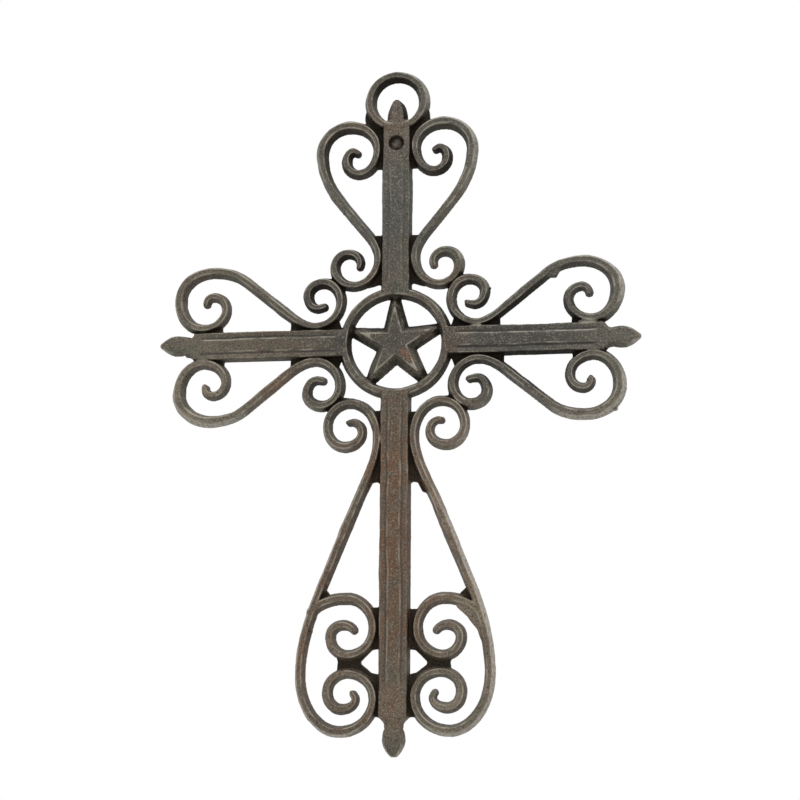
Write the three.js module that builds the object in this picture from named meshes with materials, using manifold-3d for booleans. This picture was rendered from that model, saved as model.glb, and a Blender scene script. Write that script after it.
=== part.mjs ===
// A cast iron wall cross in the manner of smith's scrollwork, poured as one piece in an open mould.
// Two grooved bars cross behind a ring that holds a five-pointed star. Scrolls fill the four corners,
// two C-curls sit in the lower loops, spear points end the bars and a ring above the top hangs it up.
// Millimetres, +Z up, +X to the right, the front towards -Y and the flat back in the plane Y = 0.
// The origin is where the nail bears: the top of the hanging ring's eye, on the back.

import * as THREE from 'three';
import { mergeVertices } from 'three/addons/utils/BufferGeometryUtils.js';
import Module from 'manifold-3d';

// Driving sizes. Widths are across the back, and every side leans in towards the front by its draft.
const barWidth = 15.2;
const barDepth = 5.2;
const barDraft = 1.2;
const grooveOffset = 3.4;
const grooveWidth = 1.1;
const grooveDepth = 0.6;

const armReach = 100;
const topReach = 112;
const bottomReach = 177.5;

const scrollDepth = 5;
const scrollDraft = 1.5;
const scrollCrown = 0.35;

const centreRingRadius = 24.9;
const centreRingWidth = 6;
const centreRingHeight = -0.3;
const ringDepth = 5.4;
const ringFrontWidth = 2.4;

const hangingRingRadius = 13.5;
const hangingRingWidth = 6;
const hangingRingLift = 10.3;

const starDepth = 5.4;
const starTipRadius = 16.6;
const starNotchRadius = 5.5;
const starFootNotchRadius = 10.5;
const starFootTipWidth = 4;
const starTurn = 1.2;
const starSide = 0.1;
const starHeight = -0.65;

const spearLength = 17.5;
const armSpearNeckWidth = 9.2;
const armSpearWidth = 10.6;
const bottomSpearNeckWidth = 8.8;
const bottomSpearWidth = 10.9;
const leftSpearLift = 1.1;
const rightSpearLift = 0;
const topSpearLength = 11.7;
const topSpearWidth = 11;

const recessHeight = 100.2;
const recessDiameter = 7.6;
const recessDepth = 2;

const webDepth = 2;
const webReach = 6.5;
const webBite = 0.3;

const stepAngle = 18;
const ringSides = 30;
const recessSides = 24;

const wasm = await Module();
wasm.setup();

const halfBar = barWidth / 2;
const webRoot = halfBar - barDraft - webBite;
const hangingRingHeight = topReach + hangingRingLift;
const eyeTop = hangingRingHeight + hangingRingRadius - hangingRingWidth / 2;

// A closed mesh from rings of points that follow one another, with a flat cap on each end.
// Every ring is a list of [x, y, z] that turns the same way seen from its successor.
function skin(rings) {
  const count = rings[0].length;
  const index = [];
  for (let i = 0; i + 1 < rings.length; i += 1) {
    for (let j = 0; j < count; j += 1) {
      const a = i * count + j;
      const b = i * count + ((j + 1) % count);
      index.push(a, b, b + count, a, b + count, a + count);
    }
  }
  const last = (rings.length - 1) * count;
  for (let j = 1; j + 1 < count; j += 1) {
    index.push(0, j + 1, j);
    index.push(last, last + j, last + j + 1);
  }
  const geometry = new THREE.BufferGeometry();
  geometry.setAttribute('position', new THREE.Float32BufferAttribute(rings.flat(2), 3));
  geometry.setIndex(index);
  return geometry;
}

// A geometry of three.js as a solid that can be joined and cut.
function solid(geometry) {
  geometry.deleteAttribute('normal');
  geometry.deleteAttribute('uv');
  const merged = mergeVertices(geometry);
  return new wasm.Manifold(new wasm.Mesh({
    numProp: 3,
    vertProperties: merged.attributes.position.array,
    triVerts: new Uint32Array(merged.index.array),
  }));
}

// The section of a cast bar as [across, forward] points: a wide foot, leaning sides, a crowned front.
function crownedSection(width, depth, draft, crown) {
  const half = width / 2;
  const front = Math.max(half - draft, half / 2.5);
  return [[-half, 0], [half, 0], [front, depth - crown], [0, depth], [-front, depth - crown]];
}

// Carries a section along a path in the plane of the cross. Each place on the path has x, z,
// the direction of travel and the section there.
function carry(places) {
  const rings = places.map(({ x, z, along, section }) => section.map(([across, forward]) => [
    x - along.y * across,
    -forward,
    z + along.x * across,
  ]));
  return solid(skin(rings));
}

function direction(heading) {
  const angle = THREE.MathUtils.degToRad(heading);
  return new THREE.Vector2(Math.cos(angle), Math.sin(angle));
}

// How far the path turns from one heading to the next, at most half a turn.
function turnBetween(from, to) {
  const turn = THREE.MathUtils.euclideanModulo(to - from, 360);
  return Math.min(turn, 360 - turn);
}

// The smooth stretch between two stations [x, z, heading, width]. A quarter turn is a quarter
// of an ellipse, and a stretch without a turn is straight or a slow double bend.
function stretch(from, to) {
  const start = new THREE.Vector2(from[0], from[1]);
  const end = new THREE.Vector2(to[0], to[1]);
  const leave = direction(from[2]);
  const arrive = direction(to[2]);
  const turn = THREE.MathUtils.degToRad(turnBetween(from[2], to[2]));
  const share = turn < 0.01 ? 1 / 3 : (4 / 3) * Math.tan(turn / 4) / Math.sin(turn);
  const chord = end.clone().sub(start);
  const first = start.clone().addScaledVector(leave, share * chord.dot(leave));
  const second = end.clone().addScaledVector(arrive, -share * chord.dot(arrive));
  return new THREE.CubicBezierCurve(start, first, second, end);
}

// The middle line of a scroll through its stations, as places with a width.
function middleLine(stations) {
  const line = [];
  for (let i = 0; i + 1 < stations.length; i += 1) {
    const curve = stretch(stations[i], stations[i + 1]);
    const steps = Math.max(2, Math.round(turnBetween(stations[i][2], stations[i + 1][2]) / stepAngle));
    for (let k = i === 0 ? 0 : 1; k <= steps; k += 1) {
      const share = k / steps;
      const point = curve.getPoint(share);
      line.push({
        x: point.x,
        z: point.y,
        along: curve.getTangent(share),
        width: THREE.MathUtils.lerp(stations[i][3], stations[i + 1][3], share),
      });
    }
  }
  return line;
}

// The two blunt rounded ends that close a scroll, drawn in by these shares of its width.
const noseSteps = [[0.25, 0.87, 0.96], [0.42, 0.55, 0.8]];

function nose(place, sign) {
  return noseSteps.map(([out, narrow, low]) => ({
    x: place.x + sign * out * place.width * place.along.x,
    z: place.z + sign * out * place.width * place.along.y,
    along: place.along,
    width: place.width * narrow,
    depth: scrollDepth * low,
  }));
}

function scroll(line) {
  const places = [
    ...nose(line[0], -1).reverse(),
    ...line,
    ...nose(line[line.length - 1], 1),
  ];
  return carry(places.map((place) => ({
    ...place,
    section: crownedSection(place.width, place.depth ?? scrollDepth, scrollDraft, scrollCrown),
  })));
}

// A thin recessed web, as it is left in the corners where two bars were moulded together.
function web(outline) {
  const shape = new THREE.Shape(outline.map(([x, z]) => new THREE.Vector2(x, z)));
  const plate = new THREE.ExtrudeGeometry(shape, { depth: webDepth, bevelEnabled: false });
  return solid(plate.rotateX(Math.PI / 2));
}

// A web between a straight bar and the part of a scroll that lies beside it between two limits
// along the bar. upright says that the bar is the vertical one.
function webAlong(line, upright, low, high) {
  const near = line.filter(({ x, z }) => {
    const along = upright ? z : x;
    const off = Math.abs(upright ? x : z);
    return along >= low && along <= high && off < halfBar + webReach;
  });
  const outline = near.map(({ x, z }) => [x, z]);
  const sign = Math.sign(upright ? near[0].x : near[0].z);
  const foot = sign * webRoot;
  const first = near[0];
  const last = near[near.length - 1];
  outline.push(upright ? [foot, last.z] : [last.x, foot]);
  outline.push(upright ? [foot, first.z] : [first.x, foot]);
  return web(outline);
}

function mirrorStations(stations, right, up) {
  return stations.map(([x, z, heading, width]) => {
    const turned = right ? heading : 180 - heading;
    return [right ? x : -x, up ? z : -z, up ? turned : -turned, width];
  });
}

function mirrorOutline(outline, right, up) {
  return outline.map(([x, z]) => [right ? x : -x, up ? z : -z]);
}

// The scrolls as they lie in the corner to the right, in three parts: the lobe with the curl inside
// it, the long run, and the small curl. Each is a row of stations [x, z, heading, width].
const armScroll = {
  lobe: [
    [93.9, 21.2, 90, 4.3],
    [90.2, 24.8, 180, 5],
    [83.9, 18.2, 270, 5.2],
    [95.4, 8.7, 360, 5.6],
    [107.4, 23.4, 90, 6.8],
    [91, 37.4, 180, 5.9],
  ],
  run: [
    [74.2, 31.9, 219, 5.6],
    [53, 14.7, 219, 5.4],
  ],
  curl: [
    [39.5, 8.7, 180, 5],
    [27.2, 21, 90, 5.5],
    [36, 30.7, 0, 5.8],
    [43.5, 24.4, 270, 5.6],
    [38.6, 17.9, 180, 4.8],
    [35.4, 18.5, 160, 4.2],
  ],
};

const topScroll = {
  lobe: [
    [19.2, 96.6, 30, 3.8],
    [21.4, 97.6, 0, 4.6],
    [25, 92.8, 270, 5.8],
    [18.4, 86.1, 180, 5.4],
    [9.2, 98.5, 90, 5.4],
    [23.3, 110.9, 0, 7],
    [37.3, 97, 270, 6],
  ],
  run: [
    [29, 73.2, 233, 5.6],
    [16, 56.8, 230, 5.5],
  ],
  curl: [
    [8.8, 42.5, 270, 5.4],
    [21, 28.8, 0, 5.2],
    [30.6, 38.3, 90, 5.6],
    [23.8, 45.3, 180, 5.4],
    [17.9, 40, 270, 4.6],
    [18.2, 38.4, 280, 4.3],
  ],
};

const bottomScroll = {
  lobe: [
    [19, -166, 240, 3.6],
    [17.9, -168.2, 270, 4],
    [24.5, -172.9, 360, 5.4],
    [31.3, -165.2, 90, 5.4],
    [21.8, -156.4, 180, 5],
    [9.2, -168, 270, 5.4],
    [25.5, -183.1, 360, 5.7],
    [44.5, -157, 90, 5.3],
  ],
  run: [
    [33.9, -113.5, 112.4, 5.6],
    [19.7, -79, 112.4, 5.6],
  ],
  curl: [
    [8.6, -46, 90, 5.5],
    [22.2, -29.1, 0, 5.2],
    [33.3, -40.6, 270, 5],
    [24.3, -50.3, 180, 5.6],
    [16.4, -43.6, 90, 4.8],
    [20.9, -38.4, 0, 4],
    [22.3, -38.6, 345, 3.7],
  ],
};

const loopCurl = {
  lobe: [],
  run: [
    [39.8, -129, 132, 5.6],
  ],
  curl: [
    [23.2, -122.5, 180, 6],
    [10.2, -136.4, 270, 5.3],
    [22.6, -148.9, 360, 5.4],
    [30.8, -140.4, 90, 5.5],
    [24.6, -134.8, 180, 5.2],
    [19.4, -137.4, 235, 4.2],
  ],
};

// The small webs between one scroll and the next, drawn in the corner to the right.
const cornerWebs = {
  upperCurls: [[25.4, 21], [25.4, 26.7], [20, 27], [25, 32], [32, 30]],
  lowerCurls: [[25.6, -20], [25.6, -26.5], [20, -27], [25, -32], [32, -30]],
  underRing: [
    [15.8, 118], [13.6, 115.6], [9, 113], [6, 108.5], [9, 105], [15, 110.5], [16.4, 113.2], [16.3, 115.6],
  ],
  loopStart: [[31.5, -119.6], [33.6, -117.6], [39.5, -127], [29, -123.6]],
  loopFlare: [[36.5, -127], [40.4, -127], [42.5, -140], [40, -138], [37, -132]],
  betweenLoops: [[15.4, -152.6], [16, -149.5], [27.5, -149.5], [26.6, -152], [27, -156], [16, -156]],
  overGap: [[6, -144], [8, -146.3], [10.2, -146.6], [15.4, -151.8], [17.2, -150], [12, -142]],
  underGap: [[6, -160], [8, -157.5], [10.6, -156.9], [15.3, -153.1], [17, -155], [12, -162]],
  aboveRing: [[6, 28.4], [8.6, 29.2], [14, 27.6], [16, 32], [6, 33]],
  besideRun: [[6, -64], [6, -69.6], [8.6, -67.8], [10.8, -68.2], [13, -72.6], [17, -74], [12, -60]],
};
const ringCornerWeb = [[26, 6], [34, 6], [33, 13], [28.7, 13.4], [27.2, 9]];

// Two places on the right where the pattern is clumsier than its mirrored half.
const patternFlaws = [
  [[69, 28], [73.3, 29.9], [77.6, 30], [79.4, 32.8], [82, 36.5], [74, 34]],
  [[25, -123.6], [38, -126], [38, -131.4], [35.2, -129], [30.6, -126.8], [25, -125.8]],
];

// How far the three parts of each scroll lie off their mirrored places: [to the right, up].
const handSet = {
  right: {
    top: { lobe: [0, 0.1], run: [0, 0], curl: [0.2, -0.3] },
    bottom: { lobe: [0.3, 0.1], run: [0.8, 0], curl: [0.1, 0.1] },
    loop: { lobe: [0, 0], run: [0.4, 0], curl: [0.6, 0] },
    upper: { lobe: [-0.6, 0.5], run: [-0.4, 0.85], curl: [-0.3, 0] },
    lower: { lobe: [-0.4, 0.5], run: [0, 0.1], curl: [0.5, -0.2] },
  },
  left: {
    top: { lobe: [-0.35, -0.4], run: [-0.1, 0], curl: [0.1, -0.2] },
    bottom: { lobe: [-0.1, -0.8], run: [0.8, 0], curl: [0.2, -0.4] },
    loop: { lobe: [0, 0], run: [0.3, 0], curl: [0.5, -0.2] },
    upper: { lobe: [-0.7, 0.4], run: [-0.1, 0.2], curl: [0, 0] },
    lower: { lobe: [-0.1, 0.5], run: [0.1, 0.4], curl: [0, 0.2] },
  },
};

// Where a web joins a scroll to the bar beside it, as stretches along that bar.
const topWebs = [[87, 111], [30.3, 54.6]];
const bottomWebs = [[-66.6, -33.4], [-177.8, -156.8]];
const loopWebs = [[-147.8, -124.6]];
const armWebs = [[83.2, 100.5], [28.4, 55.4]];

function handSetLine(scrollParts, right, up, shifts) {
  const stations = ['lobe', 'run', 'curl'].flatMap((name) => {
    const [shiftX, shiftZ] = shifts[name];
    return mirrorStations(scrollParts[name], right, up)
      .map(([x, z, ...rest]) => [x + shiftX, z + shiftZ, ...rest]);
  });
  return middleLine(stations);
}

function scrollwork() {
  const pieces = [];
  for (const right of [true, false]) {
    const shifts = right ? handSet.right : handSet.left;
    const upright = [[topScroll, shifts.top, topWebs], [bottomScroll, shifts.bottom, bottomWebs],
      [loopCurl, shifts.loop, loopWebs]];
    for (const [parts, shift, webs] of upright) {
      const line = handSetLine(parts, right, true, shift);
      pieces.push(scroll(line), ...webs.map(([low, high]) => webAlong(line, true, low, high)));
    }
    for (const up of [true, false]) {
      const line = handSetLine(armScroll, right, up, up ? shifts.upper : shifts.lower);
      pieces.push(scroll(line), web(mirrorOutline(ringCornerWeb, right, up)));
      for (const [near, far] of armWebs) {
        pieces.push(right ? webAlong(line, false, near, far) : webAlong(line, false, -far, -near));
      }
    }
    const outlines = Object.values(cornerWebs);
    pieces.push(...outlines.map((outline) => web(mirrorOutline(outline, right, true))));
  }
  pieces.push(...patternFlaws.map(web));
  return pieces;
}

// The section of a grooved bar, a V groove each side of a flat middle band.
function groovedSection() {
  const front = halfBar - barDraft;
  const groove = (middle) => [
    [middle + grooveWidth / 2, barDepth],
    [middle, barDepth - grooveDepth],
    [middle - grooveWidth / 2, barDepth],
  ];
  return [
    [-halfBar, 0],
    [halfBar, 0],
    [front, barDepth],
    ...groove(grooveOffset),
    ...groove(-grooveOffset),
    [-front, barDepth],
  ];
}

// A straight bar between two distances from the crossing, along a heading.
function straightBar(heading, from, to) {
  const along = direction(heading);
  const section = groovedSection();
  const places = [from, to].map((reach) => ({
    x: along.x * reach, z: along.y * reach, along, section,
  }));
  return carry(places);
}

// A spear point past the shoulder of a bar: [distance, width, depth] from shoulder to tip. A level
// one may sit a little above the middle of its bar.
function spear(heading, reach, profile, lift = 0) {
  const along = direction(heading);
  return carry(profile.map(([out, width, depth]) => ({
    x: along.x * (reach + out),
    z: along.y * (reach + out) + (out < 0 ? 0 : lift),
    along,
    section: crownedSection(width, depth, scrollDraft, scrollCrown),
  })));
}

const overlap = 6;

// The points from neck to tip: [share of the length, share of the width, share of the bar's depth].
const armSpearPoint = [
  [0.29, 0.9, 0.92], [0.43, 0.99, 0.94], [0.61, 0.97, 0.9],
  [0.78, 0.71, 0.79], [0.92, 0.39, 0.63], [1, 0.14, 0.42],
];
const bottomSpearPoint = [
  [0.29, 0.87, 0.92], [0.43, 0.97, 0.94], [0.61, 1, 0.92],
  [0.77, 0.85, 0.83], [0.92, 0.5, 0.65], [1, 0.24, 0.42],
];
const topSpearPoint = [
  [0.26, 0.97, 1], [0.51, 0.88, 0.98], [0.72, 0.72, 0.92], [0.88, 0.48, 0.81], [1, 0.18, 0.58],
];

function spearPoint(length, width, shares) {
  return shares.map(([out, wide, deep]) => [length * out, width * wide, barDepth * deep]);
}

// The shoulder steps in from the bar to the neck.
function spearProfile(neckWidth, width, shares) {
  const step = barWidth - neckWidth;
  return [
    [-overlap, barWidth - 2 * barDraft, barDepth * 0.92],
    [0, barWidth, barDepth * 0.96],
    [spearLength * 0.09, neckWidth + step * 0.3, barDepth * 0.92],
    [spearLength * 0.16, neckWidth, barDepth * 0.88],
    ...spearPoint(spearLength, width, shares),
  ];
}

function bars() {
  const topSpearProfile = [
    [-overlap, topSpearWidth, barDepth],
    ...spearPoint(topSpearLength, topSpearWidth, topSpearPoint),
  ];
  return [
    straightBar(0, centreRingRadius, armReach),
    straightBar(180, centreRingRadius, armReach),
    straightBar(90, centreRingRadius, topReach),
    straightBar(270, centreRingRadius, bottomReach),
    spear(0, armReach, spearProfile(armSpearNeckWidth, armSpearWidth, armSpearPoint), rightSpearLift),
    spear(180, armReach, spearProfile(armSpearNeckWidth, armSpearWidth, armSpearPoint), leftSpearLift),
    spear(270, bottomReach, spearProfile(bottomSpearNeckWidth, bottomSpearWidth, bottomSpearPoint)),
    spear(90, topReach, topSpearProfile),
  ];
}

// A flat-backed ring about the depth axis, turned from its section.
function castRing(radius, width, height) {
  const half = width / 2;
  const front = ringFrontWidth / 2;
  const section = [
    [radius - half, 0],
    [radius - front, -(ringDepth - scrollCrown)],
    [radius, -ringDepth],
    [radius + front, -(ringDepth - scrollCrown)],
    [radius + half, 0],
    [radius - half, 0],
  ].map(([r, y]) => new THREE.Vector2(r, y));
  const ring = new THREE.LatheGeometry(section, ringSides);
  ring.translate(0, 0, height);
  return solid(ring);
}

// The five-pointed star: a wide foot whose points run into the ring, and a smaller flat front.
function star() {
  const points = 5;
  const level = (tipRadius, tipWidth, notchRadius, depth) => {
    const ring = [];
    for (let k = 0; k < points; k += 1) {
      const tip = direction(90 + starTurn + (360 / points) * k);
      const notch = direction(90 + starTurn + (360 / points) * (k + 0.5));
      const aside = new THREE.Vector2(-tip.y, tip.x).multiplyScalar(tipWidth / 2);
      ring.push([tip.x * tipRadius - aside.x, -depth, tip.y * tipRadius - aside.y]);
      ring.push([tip.x * tipRadius + aside.x, -depth, tip.y * tipRadius + aside.y]);
      ring.push([notch.x * notchRadius, -depth, notch.y * notchRadius]);
    }
    return ring;
  };
  // Each level lies part of the way from the front star to the foot.
  const between = (share) => THREE.MathUtils.lerp(starNotchRadius, starFootNotchRadius, share);
  const footTip = centreRingRadius;
  const creaseTip = THREE.MathUtils.lerp(starTipRadius, footTip, 0.74);
  const levels = [
    level(footTip, starFootTipWidth, starFootNotchRadius, 0),
    level(footTip, starFootTipWidth * 0.8, between(0.86), starDepth * 0.35),
    level(creaseTip, starFootTipWidth * 0.35, between(0.58), starDepth * 0.62),
    level(starTipRadius, starFootTipWidth * 0.1, starNotchRadius, starDepth),
  ];
  const form = fanSkin(levels);
  form.translate(starSide, 0, starHeight);
  return solid(form);
}

// As skin, for outlines that are not convex but are seen whole from their middle.
function fanSkin(rings) {
  const geometry = skin(rings);
  const count = rings[0].length;
  const sides = 6 * count * (rings.length - 1);
  const index = Array.from(geometry.index.array).slice(0, sides);
  const first = rings.flat().length;
  const last = (rings.length - 1) * count;
  const middles = [[0, rings[0][0][1], 0], [0, rings[rings.length - 1][0][1], 0]];
  for (let j = 0; j < count; j += 1) {
    const next = (j + 1) % count;
    index.push(first, next, j);
    index.push(first + 1, last + j, last + next);
  }
  geometry.setAttribute('position', new THREE.Float32BufferAttribute([...rings, middles].flat(2), 3));
  geometry.setIndex(index);
  return geometry;
}

function blindRecess() {
  const proud = 1;
  const radius = recessDiameter / 2;
  const drill = new THREE.CylinderGeometry(radius, radius, recessDepth + proud, recessSides);
  drill.translate(0, -(barDepth - recessDepth) - (recessDepth + proud) / 2, recessHeight);
  return solid(drill);
}

function casting() {
  const pieces = [
    ...bars(),
    castRing(centreRingRadius, centreRingWidth, centreRingHeight),
    castRing(hangingRingRadius, hangingRingWidth, hangingRingHeight),
    star(),
    ...scrollwork(),
  ];
  const joined = pieces.reduce((whole, piece) => whole.add(piece));
  return joined.subtract(blindRecess());
}

function meshOf(form, name, material) {
  const { vertProperties, triVerts } = form.getMesh();
  const geometry = new THREE.BufferGeometry();
  geometry.setAttribute('position', new THREE.BufferAttribute(vertProperties, 3));
  geometry.setIndex(new THREE.BufferAttribute(triVerts, 1));
  geometry.computeVertexNormals();
  const mesh = new THREE.Mesh(geometry, material);
  mesh.name = name;
  return mesh;
}

const castIron = new THREE.MeshStandardMaterial({ color: 0x5e544a, roughness: 0.62, metalness: 0.7 });

const part = new THREE.Group();
const cross = meshOf(casting(), 'cross', castIron);
cross.position.z = -eyeTop;
part.add(cross);

export default part;
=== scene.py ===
import math

import bmesh
import bpy
import numpy as np
from mathutils import Matrix, Vector
from mathutils.bvhtree import BVHTree
from mathutils.kdtree import KDTree


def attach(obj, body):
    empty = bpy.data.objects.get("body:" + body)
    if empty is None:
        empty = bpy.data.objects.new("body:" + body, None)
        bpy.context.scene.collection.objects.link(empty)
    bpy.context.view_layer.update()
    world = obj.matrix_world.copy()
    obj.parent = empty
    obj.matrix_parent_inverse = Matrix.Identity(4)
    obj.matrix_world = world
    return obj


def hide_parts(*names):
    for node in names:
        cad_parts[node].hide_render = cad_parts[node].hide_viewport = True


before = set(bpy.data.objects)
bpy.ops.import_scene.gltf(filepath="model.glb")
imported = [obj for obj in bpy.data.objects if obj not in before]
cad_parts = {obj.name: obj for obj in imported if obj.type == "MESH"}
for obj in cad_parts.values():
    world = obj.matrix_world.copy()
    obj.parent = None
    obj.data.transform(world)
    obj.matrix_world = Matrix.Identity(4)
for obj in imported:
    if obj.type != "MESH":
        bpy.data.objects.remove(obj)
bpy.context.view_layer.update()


# The upright and the two arms
# One casting of grey iron, poured face down in an open sand mould, so the back is flat and every side
# leans in towards the front. The whole pattern is drawn in millimetres from the crossing.
casting = bmesh.new()

BAR_WIDTH = 15.2
BAR_DEPTH = 5.2
RING_RADIUS = 24.9
RING_DEPTH = 5.4
ARM_REACH = 100
TOP_REACH = 112
BOTTOM_REACH = 177.5
ARM_NECK = 9.6
RIGHT_POINT_WIDTH = 10.8
LEFT_POINT_WIDTH = 10.4
BOTTOM_NECK = 9.2
BOTTOM_POINT_WIDTH = 11

# Half of each section as shares of its half width and its depth, from the foot to the middle.
BAR_SIDE = [(1, 0), (0.985, 0.1), (0.862, 0.9), (0.84, 0.965), (0.805, 1), (0.4, 1), (0, 1)]
SPEAR_SIDE = [(1, 0), (0.975, 0.14), (0.78, 0.82), (0.7, 0.93), (0.58, 0.985), (0, 1)]
TOP_SPEAR_SIDE = [(1, 0), (0.96, 0.14), (0.7, 0.86), (0.63, 0.95), (0.52, 1), (0, 1)]


def whole_section(side):
    """Both halves of a section, as shares of the full width and the depth."""
    right = [Vector((out / 2, 0, up)) for out, up in side]
    left = [Vector((-point.x, 0, point.z)) for point in reversed(right[:-1])]
    return right + left


def place(x, z, heading, width, depth):
    """Where a section stands: its width across the heading, its depth towards the front."""
    angle = math.radians(heading)
    across = Vector((-math.sin(angle), 0, math.cos(angle))) * width
    along = Vector((math.cos(angle), 0, math.sin(angle)))
    stand = Matrix((across, along, Vector((0, -depth, 0)))).transposed().to_4x4()
    stand.translation = (x, 0, z)
    return stand


def sweep(section, places):
    """A closed bar: the section is drawn on from each place to the next."""
    bar = bmesh.new()
    ring = [bar.verts.new(places[0] @ point) for point in section]
    bar.faces.new(ring)
    edges = [bar.edges.get((ring[i - 1], ring[i])) for i in range(len(ring))]
    for here, there in zip(places, places[1:]):
        drawn = bmesh.ops.extrude_edge_only(bar, edges=edges)["geom"]
        edges = [e for e in drawn if isinstance(e, bmesh.types.BMEdge) and e.is_boundary]
        verts = [v for v in drawn if isinstance(v, bmesh.types.BMVert)]
        bmesh.ops.transform(bar, matrix=there @ here.inverted(), verts=verts)
    bmesh.ops.contextual_create(bar, geom=edges)
    drawn_bar = bpy.data.meshes.new("bar")
    bar.to_mesh(drawn_bar)
    bar.free()
    casting.from_mesh(drawn_bar)
    bpy.data.meshes.remove(drawn_bar)


def straight(side, heading, profile, lift=0):
    """A straight bar from [distance from the crossing, width, depth] at each place along it."""
    angle = math.radians(heading)
    places = []
    for reach, width, depth in profile:
        x = math.cos(angle) * reach
        z = math.sin(angle) * reach
        places.append(place(x, z + lift, heading, width, depth))
    sweep(whole_section(side), places)


def bar_profile(far):
    """A bar rises a little where it runs into the centre ring."""
    near = [(RING_RADIUS, RING_DEPTH), (RING_RADIUS + 2.4, RING_DEPTH), (RING_RADIUS + 8, BAR_DEPTH)]
    return [(reach, BAR_WIDTH, depth) for reach, depth in near + [(far, BAR_DEPTH)]]


def shoulder_profile(far, neck):
    """The corner of a bar's end and the step in to the neck of its spear point."""
    step = BAR_WIDTH - neck
    return [
        (far - 6, BAR_WIDTH - 2.4, 4.9), (far - 0.6, BAR_WIDTH - 0.5, 5.05), (far + 0.3, BAR_WIDTH - 1.4, 5),
        (far + 1.1, neck + step * 0.5, 4.95), (far + 1.8, neck + step * 0.2, 4.85), (far + 2.9, neck, 4.8),
        (far + 4, neck, 4.75), (far + 5, neck * 0.96, 4.6),
    ]


def point_profile(far, width):
    """The spear point of an arm: [distance past the bar's end, share of the width, depth]."""
    shares = [
        (2.4, 0.84, 4.6), (4, 0.87, 4.8), (5.4, 0.93, 4.85), (7, 0.98, 4.9), (8.6, 1, 4.9),
        (10.4, 0.965, 4.8), (12, 0.86, 4.55), (13.6, 0.71, 4.15), (15, 0.54, 3.65), (16.2, 0.37, 3.1),
        (17, 0.24, 2.6), (17.5, 0.12, 2),
    ]
    return [(far + out, width * wide, deep) for out, wide, deep in shares]


def blunt_profile(far, width):
    """The bottom point is fuller, and its tip is chipped."""
    shares = [
        (5.6, 0.87, 4.85), (6.6, 0.93, 4.88), (8, 0.98, 4.9), (10.4, 1, 4.85), (12.2, 0.94, 4.65),
        (13.8, 0.82, 4.35), (15.2, 0.66, 3.9), (16.4, 0.48, 3.4), (17.2, 0.33, 2.9), (17.6, 0.22, 2.4),
    ]
    return [(far + out, width * wide, deep) for out, wide, deep in shares]


# The top point has no neck: [distance past the bar's end, width, depth].
TOP_POINT = [
    (-6, 10.6, 5.3), (0, 10.8, 5.3), (3, 10.6, 5.25), (5, 10, 5.2), (6.8, 9.2, 5.1), (8.4, 8, 4.9),
    (9.7, 6.4, 4.5), (10.6, 4.7, 4), (11.2, 3.1, 3.4), (11.5, 1.8, 2.8),
]

for heading, far in ((0, ARM_REACH), (180, ARM_REACH), (90, TOP_REACH), (270, BOTTOM_REACH)):
    straight(BAR_SIDE, heading, bar_profile(far))
straight(SPEAR_SIDE, 0, shoulder_profile(ARM_REACH, ARM_NECK))
straight(SPEAR_SIDE, 0, point_profile(ARM_REACH, RIGHT_POINT_WIDTH), lift=0.1)
straight(SPEAR_SIDE, 180, shoulder_profile(ARM_REACH, ARM_NECK))
straight(SPEAR_SIDE, 180, point_profile(ARM_REACH, LEFT_POINT_WIDTH), lift=1.1)
bottom_end = shoulder_profile(BOTTOM_REACH, BOTTOM_NECK) + blunt_profile(BOTTOM_REACH, BOTTOM_POINT_WIDTH)
straight(SPEAR_SIDE, 270, bottom_end)
straight(TOP_SPEAR_SIDE, 90, [(TOP_REACH + out, width, depth) for out, width, depth in TOP_POINT])


# The centre ring and the hanging ring
# Cast in the same pour. Both are round hoops with a flat back and a narrow, rounded front. A nail
# goes through the upper one, and the top of its eye is the origin of the whole part.
RING_WIDTH = 6
RING_HEIGHT = -0.3
HANGING_RADIUS = 13.5
HANGING_HEIGHT = 122.3
EYE_TOP = HANGING_HEIGHT + HANGING_RADIUS - RING_WIDTH / 2
RING_STEPS = 96
RING_SIDE = [(1, 0), (0.97, 0.1), (0.52, 0.86), (0.46, 0.94), (0.38, 0.985), (0.25, 1), (0, 0.985)]


def cast_ring(radius, height):
    """A closed hoop round a centre on the upright, at the given height."""
    stand = place(radius, height, 90, RING_WIDTH, RING_DEPTH)
    ring = [casting.verts.new(stand @ point) for point in whole_section(RING_SIDE)]
    edges = [casting.edges.new((ring[i - 1], ring[i])) for i in range(len(ring))]
    bmesh.ops.spin(
        casting, geom=ring + edges, cent=(0, 0, height), axis=(0, 1, 0),
        angle=math.tau, steps=RING_STEPS, use_merge=True, use_duplicate=False,
    )


cast_ring(RING_RADIUS, RING_HEIGHT)
cast_ring(HANGING_RADIUS, HANGING_HEIGHT)


# The five-pointed star
# Part of the same casting: a broad foot whose points run into the ring, a crease half way up its
# sides, and a smaller flat star in front.
STAR_POINTS = 5
STAR_TURN = 1.2
STAR_CENTRE = Vector((0.1, 0, -0.65))
STAR_TIP = 16.6
STAR_NOTCH = 5.5
# Each level: [tip radius, tip width, notch radius, depth].
STAR_LEVELS = [
    (RING_RADIUS, 4, 10.5, 0), (RING_RADIUS, 3.2, 9.8, 1.9), (22.6, 1.6, 8.4, 3.3),
    (STAR_TIP + 0.3, 0.6, STAR_NOTCH + 0.25, 5.2), (STAR_TIP, 0.4, STAR_NOTCH, RING_DEPTH),
]


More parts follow.
